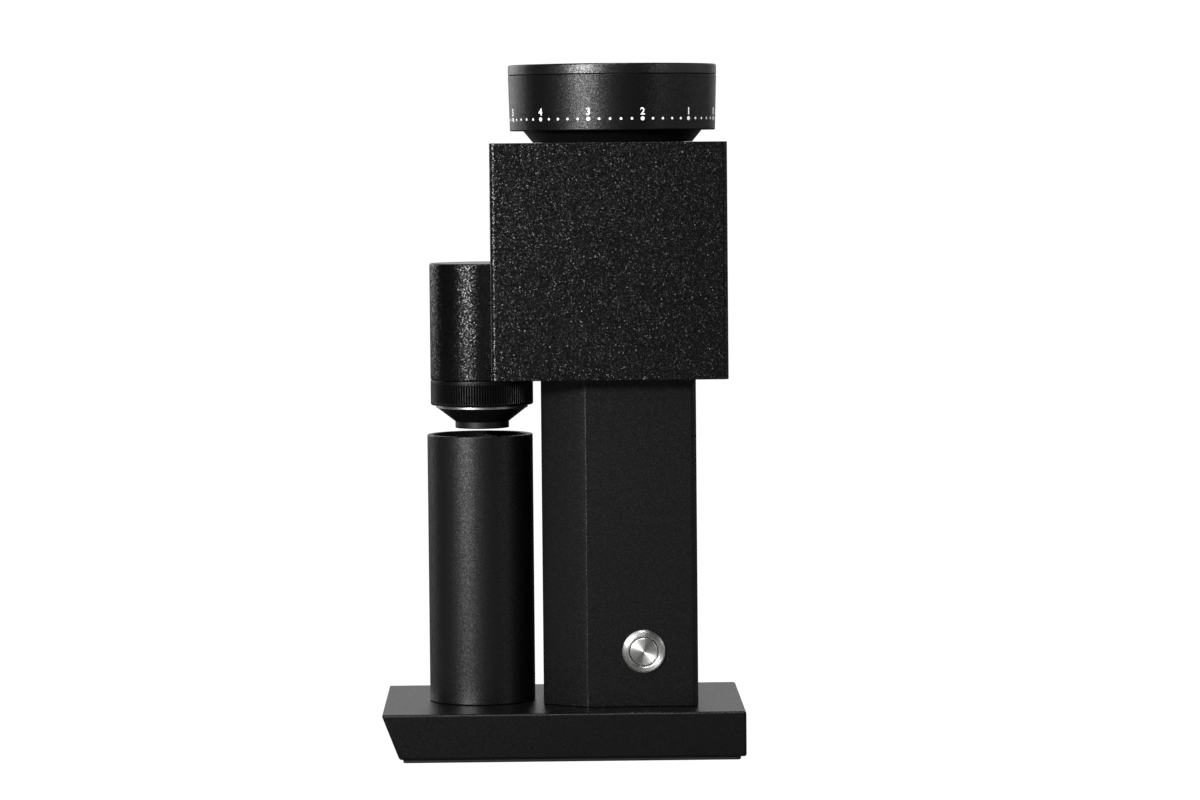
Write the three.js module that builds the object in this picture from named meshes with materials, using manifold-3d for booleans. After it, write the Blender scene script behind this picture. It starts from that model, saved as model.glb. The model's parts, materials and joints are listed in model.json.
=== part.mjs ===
// Burr coffee grinder: a cube head on a column, a round dial on top, an outlet tube and a tall cup.
// Millimetres, +Z up. The origin is on the table, under the middle of the base. The cup side faces -X
// and the power button faces -Y.
import * as THREE from "three";
import { mergeVertices } from "three/addons/utils/BufferGeometryUtils.js";
import Module from "manifold-3d";

const wasm = await Module();
wasm.setup();

// ---- driving dimensions ----
const FIT = 0.3; // clearance between pieces that rest on or turn in each other

// Where the three vertical axes stand.
const GRIND_X = 28.5; // motor, burrs and dial share this axis
const CHUTE_X = -40.8; // outlet tube
const CUP_X = -42; // the loose cup stands a little off the outlet's axis
const HEAD_X = 25.1; // middle of the cube head

const BASE = { length: 186.2, depth: 122, top: 25, slant: 9, wall: 7 };
const MAT = { height: 1.7, frontInset: 1.8, backInset: 2.8, sideInset: 2 };
const COLUMN = { front: -10.1, back: 69.5, halfDepth: 39.2, top: 194.8, wall: 3, cornerR: 3 };
const NOSE = { length: 22.6, halfWidth: 23.9, bulge: 1.2 }; // the narrowing front of the column
const HEAD = { side: 120.6, bottom: 194.6, top: 315.3, wall: 4, cornerR: 2.5 };
const PLATE = { thick: 5.8, lower: 195.2, upper: 309.3 }; // the head's two plates and their undersides
const DIAL = { bottom: 321.4, top: 350, bottomR: 53.3, topR: 54.1, wall: 3.1, web: 5 };
const LID = { top: 355.5, chamfer: 0.8 };
const NECK = { footR: 41.4, topR: 46.4, top: 324, boreR: 35, spigotR: 37.1 };
const CHUTE = { r: 26.7, top: 253.4, shoulder: 193, wall: 3 };
const RING = { bottom: 179.6, top: 192.7, flats: 32, gripDepth: 0.5 };
const OUTLET = { flangeR: 23.8, spoutR: 14, coneTop: 178.1, coneBottom: 170.6, bottom: 167.5 };
const CUP = { r: 27.5, wall: 2.7, floor: 3.5, top: 164.2 };
const BURR = { r: 32, boreR: 18.5, height: 8, gap: 0.5, lowerBottom: 238.7, teeth: 18 };
const CHAMBER = { r: 41, sweepR: 34.5, guideR: 36.7, foot: 201.3, floor: 224, ledge: 250, top: 285 };
const MOTOR = { r: 31, bottom: 104, top: 194.7, bellHeight: 9.4, canWall: 2.5 };
const BUTTON = { x: 41.5, z: 53.8, bezelR: 11, barrelR: 9.3, capR: 7.05, barrelLength: 20 };
const INLET = { z: 62, flange: 1.3, length: 47.5, height: 22, bodyLength: 27.2, bodyHeight: 19.6 };
const INLET_SCREWS = [-20, 20]; // where they stand along Y

const SMOOTH = 32; // sides of a large round piece
const MEDIUM = 24;
const SMALL = 12;
const TINY = 8;
const SPRING_STEPS = 8; // steps in one turn of a coil spring

// ---- finishes ----
const finish = (color, roughness, metalness) =>
  new THREE.MeshStandardMaterial({ color, roughness, metalness });
const FINISHES = {
  texturedBlack: finish(0x151515, 0.55, 0.3),
  satinBlack: finish(0x161616, 0.42, 0.5),
  anodisedBlack: finish(0x121212, 0.38, 0.6),
  steel: finish(0xb8b8b8, 0.28, 1),
  darkSteel: finish(0x6d6f72, 0.4, 1),
  aluminium: finish(0x9fa2a5, 0.4, 0.9),
  rubber: finish(0x0c0c0c, 0.9, 0),
  plastic: finish(0x101010, 0.5, 0),
  board: finish(0x14402a, 0.6, 0),
};

// ---- solids ----
// A closed geometry as a solid for cutting and joining, facing out.
function solid(geometry) {
  const bare = geometry.index ? geometry.toNonIndexed() : geometry.clone();
  bare.deleteAttribute("normal");
  bare.deleteAttribute("uv");
  const merged = mergeVertices(bare, 1e-4);
  const corners = [];
  for (let i = 0; i < merged.index.count; i += 3) {
    const [a, b, c] = [0, 1, 2].map((k) => merged.index.getX(i + k));
    if (a !== b && b !== c && c !== a) corners.push(a, b, c);
  }
  const vertProperties = merged.attributes.position.array;
  const build = (list) => {
    const triVerts = Uint32Array.from(list);
    return new wasm.Manifold(new wasm.Mesh({ numProp: 3, vertProperties, triVerts }));
  };
  const made = build(corners);
  return made.volume() > 0 ? made : build(corners.reverse());
}

function geometryOf(shape) {
  const mesh = shape.getMesh();
  const points = new Float32Array(mesh.numVert * 3);
  for (let i = 0; i < mesh.numVert; i++) {
    points.set(mesh.vertProperties.subarray(i * mesh.numProp, i * mesh.numProp + 3), i * 3);
  }
  const made = new THREE.BufferGeometry();
  made.setAttribute("position", new THREE.BufferAttribute(points, 3));
  made.setIndex(new THREE.BufferAttribute(mesh.triVerts, 1));
  made.computeVertexNormals();
  return made;
}

// A profile of [radius, height] points turned about the Z axis.
function turned(profile, sides = SMOOTH) {
  const points = profile.map(([r, z]) => new THREE.Vector2(r, z));
  const first = points[0];
  const last = points[points.length - 1];
  if (first.x > 0 || last.x > 0) points.push(first.clone());
  return solid(new THREE.LatheGeometry(points, sides).rotateX(Math.PI / 2));
}

const disc = (r, low, high, sides = MEDIUM) => turned([[0, low], [r, low], [r, high], [0, high]], sides);
const tube = (inner, outer, low, high, sides = MEDIUM) =>
  turned([[inner, low], [outer, low], [outer, high], [inner, high]], sides);

function box([x0, x1], [y0, y1], [z0, z1]) {
  const made = new THREE.BoxGeometry(x1 - x0, y1 - y0, z1 - z0);
  return solid(made.translate((x0 + x1) / 2, (y0 + y1) / 2, (z0 + z1) / 2));
}

// A plan outline raised from one height to another.
function raised(outline, low, high, curveSegments = 6) {
  const settings = { depth: high - low, bevelEnabled: false, curveSegments };
  return solid(new THREE.ExtrudeGeometry(outline, settings).translate(0, 0, low));
}

// A rectangle with round corners, about (middle, 0).
function roundedRectangle(middle, halfLength, halfWidth, r) {
  const [x0, x1] = [middle - halfLength, middle + halfLength];
  const outline = new THREE.Shape();
  outline.moveTo(x0 + r, -halfWidth);
  outline.absarc(x1 - r, -halfWidth + r, r, -Math.PI / 2, 0);
  outline.absarc(x1 - r, halfWidth - r, r, 0, Math.PI / 2);
  outline.absarc(x0 + r, halfWidth - r, r, Math.PI / 2, Math.PI);
  outline.absarc(x0 + r, -halfWidth + r, r, Math.PI, 1.5 * Math.PI);
  return outline;
}

// A coil spring between two heights.
function coil(radius, wireR, low, high, turns) {
  class Helix extends THREE.Curve {
    getPoint(t) {
      const angle = t * turns * 2 * Math.PI;
      const height = low + wireR + t * (high - low - 2 * wireR);
      return new THREE.Vector3(radius * Math.cos(angle), radius * Math.sin(angle), height);
    }
  }
  const section = new THREE.Shape();
  section.absarc(0, 0, wireR, 0, 2 * Math.PI);
  const steps = turns * SPRING_STEPS;
  return solid(new THREE.ExtrudeGeometry(section, { steps, curveSegments: 2, extrudePath: new Helix() }));
}

const moved = (shape, x, y, z = 0) => shape.translate([x, y, z]);
const alongX = (shape) => shape.rotate([0, 90, 0]); // what pointed up now points to +X
const spokes = (count, make, phase = 0) =>
  Array.from({ length: count }, (_, i) => make().rotate([0, 0, phase + (i * 360) / count]));
const around = (count, radius, phase = 0) =>
  Array.from({ length: count }, (_, i) => {
    const angle = phase + (i * 2 * Math.PI) / count;
    return [radius * Math.cos(angle), radius * Math.sin(angle)];
  });
const cutAll = (shape, tools) => tools.reduce((left, tool) => left.subtract(tool), shape);
const joinAll = (shape, pieces) => pieces.reduce((left, piece) => left.add(piece), shape);

function piece(name, shape, material) {
  const mesh = new THREE.Mesh(geometryOf(shape), material);
  mesh.name = name;
  return mesh;
}

function groupAt(x, y, z, pieces) {
  const group = new THREE.Group();
  group.position.set(x, y, z);
  group.add(...pieces);
  return group;
}

// ---- base ----
const PLATE_SCREWS = [[-66, -46], [-66, 46], [78, -46], [78, 46]];
const TIE_RODS = [[62, -32.2], [62, 32.2], [-3.1, -19.5], [-3.1, 19.5]];
const ROD_R = 2.3;
const ROD_HOLE_R = 2.7;

// Inside of the base, between its wall and the ends of its hollow.
const BASE_HOLLOW = { front: -76, back: BASE.length / 2 - BASE.wall, half: BASE.depth / 2 - BASE.wall };
const PLATE_SCREW = { r: 1.5, headR: 3 };

function baseHousing() {
  const half = BASE.length / 2;
  const bottom = MAT.height + 0.1;
  const side = new THREE.Shape();
  side.moveTo(-half + BASE.slant, bottom);
  side.lineTo(half, bottom);
  side.lineTo(half, BASE.top);
  side.lineTo(-half, BASE.top);
  const block = new THREE.ExtrudeGeometry(side, { depth: BASE.depth, bevelEnabled: false });
  block.rotateX(Math.PI / 2).translate(0, BASE.depth / 2, 0);
  const ceiling = BASE.top - BASE.wall;
  const { front, back, half: inside } = BASE_HOLLOW;
  const hollow = box([front, back], [-inside, inside], [0, ceiling]);
  const bosses = PLATE_SCREWS.map(([x, y]) => moved(disc(5, 4.4, ceiling + 1, SMALL), x, y));
  const bossHoles = PLATE_SCREWS.map(([x, y]) => moved(disc(PLATE_SCREW.r + FIT, 0, 15, TINY), x, y));
  const rodHoles = TIE_RODS.map(([x, y]) => moved(disc(ROD_HOLE_R, 10, BASE.top + 1, SMALL), x, y));
  return cutAll(joinAll(solid(block).subtract(hollow), bosses), [...bossHoles, ...rodHoles]);
}

function bottomPlate() {
  const { front, back, half } = BASE_HOLLOW;
  const plate = box([front + FIT, back - FIT], [-half + FIT, half - FIT], [2, 4]);
  const [headR, holeR] = [PLATE_SCREW.headR + FIT, PLATE_SCREW.r + FIT];
  const seat = () => turned([[0, 1], [headR, 1], [headR, 3.3], [holeR, 3.3], [holeR, 5], [0, 5]], SMALL);
  return cutAll(plate, PLATE_SCREWS.map(([x, y]) => moved(seat(), x, y)));
}

function baseMat() {
  const half = BASE.length / 2;
  const front = -half + BASE.slant + MAT.frontInset;
  const back = half - MAT.backInset;
  const halfDepth = BASE.depth / 2 - MAT.sideInset;
  return raised(roundedRectangle((front + back) / 2, (back - front) / 2, halfDepth, 2), 0, MAT.height, 3);
}

function plateScrew() {
  const { r, headR } = PLATE_SCREW;
  return turned([[0, 2.1], [headR, 2.1], [headR, 3], [r, 3.1], [r, 14], [0, 14]], SMALL);
}

// A rod from under the base's ceiling up into the head's lower plate.
function tieRod() {
  const [foot, ceiling, top] = [13.7, BASE.top - BASE.wall - FIT, PLATE.lower + 5.3];
  return turned([[0, foot], [4.2, foot], [4.2, ceiling], [ROD_R, ceiling], [ROD_R, top], [0, top]], SMALL);
}

const base = groupAt(0, 0, 0, [
  piece("base_housing", baseHousing(), FINISHES.satinBlack),
  piece("base_ballast", box([-15, 72], [-40, 40], [4.4, 12.4]), FINISHES.darkSteel),
  piece("base_bottom_plate", bottomPlate(), FINISHES.darkSteel),
  piece("base_mat", baseMat(), FINISHES.rubber),
]);
PLATE_SCREWS.forEach(([x, y], i) => {
  base.add(groupAt(x, y, 0, [piece(`base_screw_${i + 1}`, plateScrew(), FINISHES.darkSteel)]));
});

// ---- column ----
// The plan of the column: square at the back, narrowing to a blunt nose through two shallow arcs.
function columnOutline(inset, cornerR) {
  const [front, back] = [COLUMN.front + inset, COLUMN.back - inset];
  const side = COLUMN.halfDepth - inset;
  const shoulder = COLUMN.front + NOSE.length + inset * 0.35;
  const nose = NOSE.halfWidth - inset * 0.55;
  const [bowX, bowY] = [-2 * NOSE.bulge * 0.56, 2 * NOSE.bulge * 0.83];
  const middle = [(front + shoulder) / 2 + bowX, (side + nose) / 2 + bowY];
  const outline = new THREE.Shape();
  outline.moveTo(shoulder, -side);
  outline.absarc(back - cornerR, -side + cornerR, cornerR, -Math.PI / 2, 0);
  outline.absarc(back - cornerR, side - cornerR, cornerR, 0, Math.PI / 2);
  outline.lineTo(shoulder, side);
  outline.quadraticCurveTo(middle[0], middle[1], front, nose);
  outline.lineTo(front, -nose);
  outline.quadraticCurveTo(middle[0], -middle[1], shoulder, -side);
  return outline;
}

const inletHoles = (face) =>
  INLET_SCREWS.map((y) => moved(alongX(disc(1.8, -8, 2, TINY)), face, y, INLET.z));

function columnShell() {
  const [low, high] = [BASE.top + 0.2, COLUMN.top];
  const skin = raised(columnOutline(0, COLUMN.cornerR), low, high, 4);
  const hollow = raised(columnOutline(COLUMN.wall, 1), low - 1, high + 1, 4);
  const rodPorts = TIE_RODS.map(([x, y]) => moved(disc(4.6, low, high, SMALL), x, y));
  const rodHoles = TIE_RODS.map(([x, y]) => moved(disc(ROD_HOLE_R, low - 1, high + 1, SMALL), x, y));
  const barrel = solid(new THREE.CylinderGeometry(BUTTON.barrelR + FIT, BUTTON.barrelR + FIT, 10, MEDIUM));
  const buttonHole = moved(barrel, BUTTON.x, -COLUMN.halfDepth, BUTTON.z);
  const { length, height, bodyLength, bodyHeight, flange, z } = INLET;
  const pocket = box(
    [COLUMN.back - flange - FIT, COLUMN.back + 1],
    [-length / 2 - FIT, length / 2 + FIT],
    [z - height / 2 - FIT, z + height / 2 + FIT],
  );
  const window = box(
    [COLUMN.back - COLUMN.wall - 1, COLUMN.back + 1],
    [-bodyLength / 2 - FIT, bodyLength / 2 + FIT],
    [z - bodyHeight / 2 - FIT, z + bodyHeight / 2 + FIT],
  );
  const walls = joinAll(skin.subtract(hollow), rodPorts);
  return cutAll(walls, [...rodHoles, buttonHole, pocket, window, ...inletHoles(COLUMN.back)]);
}

// Mains inlet, set flush into the rear wall, with three blades in its socket.
function mainsInlet() {
  const { flange, length, height, bodyLength, bodyHeight, z } = INLET;
  const face = COLUMN.back - 0.1;
  const about = (middle, size) => [middle - size / 2, middle + size / 2];
  const plate = box([face - flange, face], about(0, length), about(z, height));
  const body = box([face - 24, face], about(0, bodyLength), about(z, bodyHeight));
  const socket = box([face - 16, face + 1], about(0, 24.4), about(z, 16.4));
  const blades = [[-7, z - 1.5], [0, z + 2], [7, z - 1.5]].map(([y, middle]) =>
    box([face - 17, face - 3], about(y, 2), about(middle, 5.4)),
  );
  const sink = () => alongX(turned([[0, -1.6], [1.6, -1.6], [3.5, 0.3], [0, 0.3]], SMALL));
  const sinks = INLET_SCREWS.map((y) => moved(sink(), face, y, z));
  return cutAll(joinAll(plate.add(body).subtract(socket), blades), [...inletHoles(face), ...sinks]);
}

// The inlet's screws lie along X, with flat heads sunk in its flange.
const inletScrew = () =>
  alongX(turned([[0, -9], [1.4, -9], [1.4, -1.5], [2.8, -0.1], [0, -0.1]], SMALL));

// Control board on its bracket, standing in the nose of the column.
function controllerBoard() {
  const board = box([4, 5.6], [-22, 22], [38, 96]);
  const heatSink = box([5, 19], [-18, -6], [66, 92]);
  const fins = [0, 1, 2].map((i) => box([8, 20], [-16.2 + i * 3.6, -14.6 + i * 3.6], [65, 93]));
  const capacitor = moved(alongX(disc(6, 5, 26, SMALL)), 0, 9, 82);
  const relay = box([5, 17], [-16, 4], [42, 58]);
  const terminals = box([5, 12], [8, 20], [42, 66]);
  return joinAll(cutAll(board.add(heatSink), fins), [capacitor, relay, terminals]);
}

function controllerBracket() {
  return box([2.2, 3.7], [-20, 20], [25.5, 96]).add(box([2.2, 22], [-20, 20], [25.5, 27]));
}

const column = groupAt(0, 0, 0, [
  piece("column_shell", columnShell(), FINISHES.texturedBlack),
  piece("mains_inlet", mainsInlet(), FINISHES.plastic),
  piece("controller_board", controllerBoard(), FINISHES.board),
  piece("controller_bracket", controllerBracket(), FINISHES.aluminium),
]);
TIE_RODS.forEach(([x, y], i) => {
  column.add(groupAt(x, y, 0, [piece(`tie_rod_${i + 1}`, tieRod(), FINISHES.darkSteel)]));
});
INLET_SCREWS.forEach((y, i) => {
  const screw = piece(`inlet_screw_${i + 1}`, inletScrew(), FINISHES.steel);
  column.add(groupAt(COLUMN.back - 0.1, y, INLET.z, [screw]));
});

// ---- power button, with its own +Z pointing out of the column's side ----
function buttonBody() {
  const { bezelR, barrelR, barrelLength } = BUTTON;
  const barrel = [[0, -barrelLength], [barrelR, -barrelLength], [barrelR, 0.25]];
  const bezel = [[bezelR, 0.25], [bezelR, 1.6], [bezelR - 0.8, 2.4], [8, 2.4]];
  const bore = [[7.4, 1.8], [7.4, -12], [0, -12]];
  return turned([...barrel, ...bezel, ...bore], MEDIUM);
}

function buttonCap() {
  const r = BUTTON.capR;
  return turned([[0, -3], [r, -3], [r, 2.1], [r - 0.5, 2.5], [0, 2.5]], MEDIUM);
}

function buttonNut() {
  const thick = 3;
  const hexagon = solid(new THREE.CylinderGeometry(13, 13, thick, 6).rotateX(Math.PI / 2));
  const behind = moved(hexagon, 0, 0, -COLUMN.wall - FIT - thick / 2);
  return behind.subtract(disc(BUTTON.barrelR + FIT, -10, 0, MEDIUM));
}

const button = groupAt(BUTTON.x, -COLUMN.halfDepth, BUTTON.z, [
  piece("button_body", buttonBody(), FINISHES.steel),
  piece("button_cap", buttonCap(), FINISHES.steel),
  piece("button_nut", buttonNut(), FINISHES.darkSteel),
  piece("button_spring", coil(4.5, 0.45, -11.7, -3.3, 5), FINISHES.steel),
]);
button.rotation.x = Math.PI / 2;

// ---- motor, on the grinding axis ----
const CAN_LOW = 113;
const CAN_HIGH = MOTOR.top - MOTOR.bellHeight - FIT;
const UPPER_BEARING = { r: 13, boreR: 5.1, low: 186.4, high: 194.4 };
const LOWER_BEARING = { r: 11, boreR: 4.1, low: 105.6, high: 112.4 };
const MOTOR_SCREWS = around(3, 24, Math.PI / 3);
const SHAFT_R = 4.9;
const STACK = { low: 130, high: 170, outerR: MOTOR.r - MOTOR.canWall - FIT, innerR: 19.4 };

function topBell() {
  const bell = tube(UPPER_BEARING.r + 0.2, MOTOR.r, MOTOR.top - MOTOR.bellHeight, MOTOR.top);
  return cutAll(bell, MOTOR_SCREWS.map(([x, y]) => moved(disc(2.1, 180, 200, TINY), x, y)));
}

function bottomBell() {
  const [rim, seatR, seat] = [CAN_LOW - FIT, LOWER_BEARING.r + 0.2, LOWER_BEARING.low - 0.2];
  const outside = [[0, MOTOR.bottom], [MOTOR.r, MOTOR.bottom], [MOTOR.r, rim]];
  return turned([...outside, [seatR, rim], [seatR, seat], [0, seat]], MEDIUM);
}

// A ring of twelve slots, each with a narrow mouth towards the rotor.
function statorCore() {
  const through = [STACK.low - 5, STACK.high + 5];
  const slots = spokes(12, () => box([20.8, 25], [-2.2, 2.2], through));
  const mouths = spokes(12, () => box([18, 21], [-0.8, 0.8], through));
  return cutAll(tube(STACK.innerR, STACK.outerR, STACK.low, STACK.high), [...slots, ...mouths]);
}

function motorShaft() {
  const journal = [[0, 105.8], [3.9, 105.8], [3.9, CAN_LOW]];
  const thread = [[2.9, 236], [2.9, 247], [0, 247]];
  return turned([...journal, [SHAFT_R, CAN_LOW], [SHAFT_R, 236], ...thread], SMALL);
}

// A cap screw that hangs the motor from the head's lower plate.
function motorScrew() {
  const [foot, seat, top] = [188, PLATE.lower + PLATE.thick + 0.2, 204.8];
  return turned([[0, foot], [1.8, foot], [1.8, seat], [3.6, seat], [3.6, top], [0, top]], SMALL);
}

const bearing = ({ boreR, r, low, high }) => tube(boreR, r, low, high);

const motor = groupAt(GRIND_X, 0, 0, [
  piece("motor_housing", tube(MOTOR.r - MOTOR.canWall, MOTOR.r, CAN_LOW, CAN_HIGH), FINISHES.darkSteel),
  piece("motor_top_bell", topBell(), FINISHES.aluminium),
  piece("motor_bottom_bell", bottomBell(), FINISHES.aluminium),
  piece("stator_core", statorCore(), FINISHES.darkSteel),
  piece("rotor_core", tube(SHAFT_R + FIT, 18.9, STACK.low - 2, STACK.high + 2), FINISHES.darkSteel),
  piece("motor_shaft", motorShaft(), FINISHES.steel),
  piece("motor_bearing_upper", bearing(UPPER_BEARING), FINISHES.steel),
  piece("motor_bearing_lower", bearing(LOWER_BEARING), FINISHES.steel),
]);
MOTOR_SCREWS.forEach(([x, y], i) => {
  motor.add(groupAt(x, y, 0, [piece(`motor_screw_${i + 1}`, motorScrew(), FINISHES.darkSteel)]));
});

// ---- head ----
function headShell() {
  const half = HEAD.side / 2;
  const skin = raised(roundedRectangle(HEAD_X, half, half, HEAD.cornerR), HEAD.bottom, HEAD.top, 4);
  const inner = half - HEAD.wall;
  const hollow = raised(roundedRectangle(HEAD_X, inner, inner, 1.5), HEAD.bottom - 1, HEAD.top + 1, 3);
  const chuteRecess = moved(disc(CHUTE.r + 0.4, HEAD.bottom - 1, CHUTE.top + 0.6, SMOOTH), CHUTE_X, 0);
  return cutAll(skin, [hollow, chuteRecess]);
}

function headPlate(low) {
  const half = HEAD.side / 2 - HEAD.wall - FIT;
  return raised(roundedRectangle(HEAD_X, half, half, 1.5), low, low + PLATE.thick, 3);
}

function headBottomPlate() {
  const hole = (r, x, y, sides) => moved(disc(r, PLATE.lower - 5, PLATE.lower + 15, sides), x, y);
  const chuteRecess = hole(CHUTE.r + 0.5, CHUTE_X, 0, SMOOTH);
  const shaftHole = hole(8, GRIND_X, 0, MEDIUM);
  const rodHoles = TIE_RODS.map(([x, y]) => hole(ROD_HOLE_R, x, y, SMALL));
  const screwHoles = MOTOR_SCREWS.map(([x, y]) => hole(2.2, GRIND_X + x, y, TINY));
  return cutAll(headPlate(PLATE.lower), [chuteRecess, shaftHole, ...rodHoles, ...screwHoles]);
}

function headTopPlate() {
  const neckHole = moved(disc(NECK.spigotR + FIT, PLATE.upper - 5, HEAD.top + 5, SMOOTH), GRIND_X, 0);
  return headPlate(PLATE.upper).subtract(neckHole);
}

const head = groupAt(0, 0, 0, [
  piece("head_shell", headShell(), FINISHES.texturedBlack),
  piece("head_top_plate", headTopPlate(), FINISHES.texturedBlack),
  piece("head_bottom_plate", headBottomPlate(), FINISHES.aluminium),
]);

// ---- burrs and chamber, on the grinding axis ----
const UPPER_BURR_BOTTOM = BURR.lowerBottom + BURR.height + BURR.gap;
const FLANGE_LOW = UPPER_BURR_BOTTOM + BURR.height + 0.2;
const FLANGE_HIGH = FLANGE_LOW + 8;
const GUIDES = around(3, CHAMBER.guideR, Math.PI / 2);
const GUIDE_R = 2;
const PORT = { halfWidth: 9, low: CHAMBER.floor, high: 238, reach: -50.5 };

function grindChamber() {
  const { r, sweepR, guideR, foot, floor, ledge, top } = CHAMBER;
  const [skirtR, sealR, underside] = [33, 9, floor - 8];
  const outside = [[skirtR, foot], [r, foot], [r, top], [guideR, top], [guideR, ledge]];
  const inside = [[sweepR, ledge], [sweepR, floor], [sealR, floor], [sealR, underside]];
  const cup = turned([...outside, ...inside, [skirtR, underside]], MEDIUM);
  const spout = box([PORT.reach, -sweepR - 1], [-PORT.halfWidth - 3, PORT.halfWidth + 3],
    [floor - 3.5, PORT.high + 3.5]);
  const insideOfCup = disc(sweepR + 0.5, 200, 300);
  const port = box([PORT.reach - 1, -20], [-PORT.halfWidth, PORT.halfWidth], [PORT.low, PORT.high]);
  const keyways = GUIDES.map(([x, y]) => moved(disc(GUIDE_R + FIT, FLANGE_LOW + 0.1, top + 1, SMALL), x, y));
  return cutAll(cup.add(spout.subtract(insideOfCup)), [port, ...keyways]);
}

// A flat ring burr with radial teeth on one face.
function burr(low, toothTop) {
  const ring = tube(BURR.boreR, BURR.r, low, low + BURR.height);
  const face = toothTop ? low + BURR.height : low;
  const tilt = toothTop ? -5 : 5;
  const groove = () => box([BURR.boreR - 1, BURR.r - 3.5], [-1, 1], [-1.4, 1.4]).rotate([0, tilt, 0]);
  return cutAll(ring, spokes(BURR.teeth, groove, 12).map((cut) => moved(cut, 0, 0, face)));
}

// A disc on the shaft with three wings that sweep the grounds to the port.
function lowerCarrier() {
  const [boreR, foot, web, top] = [SHAFT_R + FIT, 225.2, 232, BURR.lowerBottom - FIT];
  const hub = turned([[boreR, foot], [11, foot], [11, web], [31.5, web], [31.5, top], [boreR, top]], MEDIUM);
  return joinAll(hub, spokes(3, () => box([10, 33.5], [-2.5, 2.5], [foot, web + 1]), 40));
}

// The nut that holds the lower burr's carrier, drawn up into a cone with three feeding vanes.
function hubNut() {
  const foot = BURR.lowerBottom;
  const outside = [[15, foot], [15, 242], [9, 249], [6, 257], [0, 260]];
  const cone = turned([[3.2, foot], ...outside, [0, 248], [3.2, 248]], MEDIUM);
  return joinAll(cone, spokes(3, () => box([4, 14.6], [-1.3, 1.3], [240, 251])));
}

function upperCarrier() {
  const flangeR = CHAMBER.guideR - FIT;
  const [innerR, sleeveR, top] = [19.5, 26.2, 323];
  const flange = [[innerR, FLANGE_LOW], [flangeR, FLANGE_LOW], [flangeR, FLANGE_HIGH]];
  const body = turned([...flange, [sleeveR, FLANGE_HIGH], [sleeveR, top], [innerR, top]], MEDIUM);
  return cutAll(body, GUIDES.map(([x, y]) => moved(disc(GUIDE_R + FIT, 240, 280, SMALL), x, y)));
}

// A wave washer that presses the upper carrier up against its thread.
function waveSpring() {
  const [waves, lift, thickness] = [4, 1.9, 0.8];
  const stepsPerWave = 8;
  const middle = (CHAMBER.ledge + FLANGE_LOW) / 2;
  const section = [[34.7, -1], [36, -1], [36, 1], [34.7, 1], [34.7, -1]];
  const outline = section.map(([r, side]) => new THREE.Vector2(r, (side * thickness) / 2));
  const ring = new THREE.LatheGeometry(outline, waves * stepsPerWave).rotateX(Math.PI / 2);
  const points = ring.attributes.position;
  for (let i = 0; i < points.count; i++) {
    const angle = Math.atan2(points.getY(i), points.getX(i));
    points.setZ(i, points.getZ(i) + middle + lift * Math.cos(waves * angle));
  }
  return solid(ring);
}

const grinding = groupAt(GRIND_X, 0, 0, [
  piece("grind_chamber", grindChamber(), FINISHES.aluminium),
  piece("shaft_seal", tube(SHAFT_R + FIT, 8.7, 216.5, 223.5), FINISHES.rubber),
  piece("lower_burr_carrier", lowerCarrier(), FINISHES.aluminium),
  piece("lower_burr", burr(BURR.lowerBottom, true), FINISHES.steel),
  piece("hub_nut", hubNut(), FINISHES.steel),
  piece("upper_burr", burr(UPPER_BURR_BOTTOM, false), FINISHES.steel),
  piece("upper_burr_carrier", upperCarrier(), FINISHES.aluminium),
  piece("wave_spring", waveSpring(), FINISHES.steel),
]);
GUIDES.forEach(([x, y], i) => {
  const pin = disc(GUIDE_R, FLANGE_LOW + FIT, CHAMBER.top - 1, SMALL);
  grinding.add(groupAt(x, y, 0, [piece(`guide_pin_${i + 1}`, pin, FINISHES.steel)]));
});

// ---- dial, hopper and lid, on the grinding axis ----
const HUB = { innerR: 26.6, outerR: 34.6, bottom: 306 };
const WEB_LOW = NECK.top + FIT;
const DETENT = { radius: 41, ballR: 1.9, holeR: 2.2, low: 316.5 };

function neckCone() {
  const { boreR, spigotR, footR, topR, top } = NECK;
  const [spigotLow, foot] = [HUB.bottom + FIT, HEAD.top + 0.1];
  const spigot = [[boreR, spigotLow], [spigotR, spigotLow], [spigotR, foot]];
  const cone = [[footR, foot], [topR, DIAL.bottom], [topR, top], [boreR, top]];
  const body = turned([...spigot, ...cone]);
  return body.subtract(moved(disc(DETENT.holeR, DETENT.low, NECK.top + 1, TINY), -DETENT.radius, 0));
}

function dial() {
  const { bottom, top, bottomR, topR, wall, web } = DIAL;
  const [innerR, rimR, webTop] = [bottomR - wall, topR - wall - 0.5, WEB_LOW + web];
  const hub = [[HUB.innerR, HUB.bottom], [HUB.outerR, HUB.bottom], [HUB.outerR, WEB_LOW]];
  const skirt = [[innerR, WEB_LOW], [innerR, bottom], [bottomR, bottom], [topR, top]];
  return turned([...hub, ...skirt, [rimR, top], [rimR, webTop], [HUB.innerR, webTop]]);
}

function hopperFunnel() {
  const [bowlR, throatR, wall] = [48.8, 16, 1.6];
  const [rim, bowlEdge, bowlFoot, throatEnd] = [349.5, 347, 331.6, 262];
  const outerR = bowlR + 1.3;
  const throat = [[throatR, throatEnd], [throatR + wall, throatEnd], [throatR + wall, bowlFoot - wall]];
  const bowl = [[outerR, bowlEdge - wall], [outerR, rim], [bowlR, rim], [bowlR, bowlEdge]];
  return turned([...throat, ...bowl, [throatR, bowlFoot]]);
}

function lid() {
  const { top, chamfer } = LID;
  const [low, spigotR] = [DIAL.top + 0.2, 48.2];
  const spigot = [[0, low - 2.6], [spigotR, low - 2.6], [spigotR, low], [DIAL.topR, low]];
  return turned([...spigot, [DIAL.topR, top - chamfer], [DIAL.topR - chamfer, top], [0, top]]);
}

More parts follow.
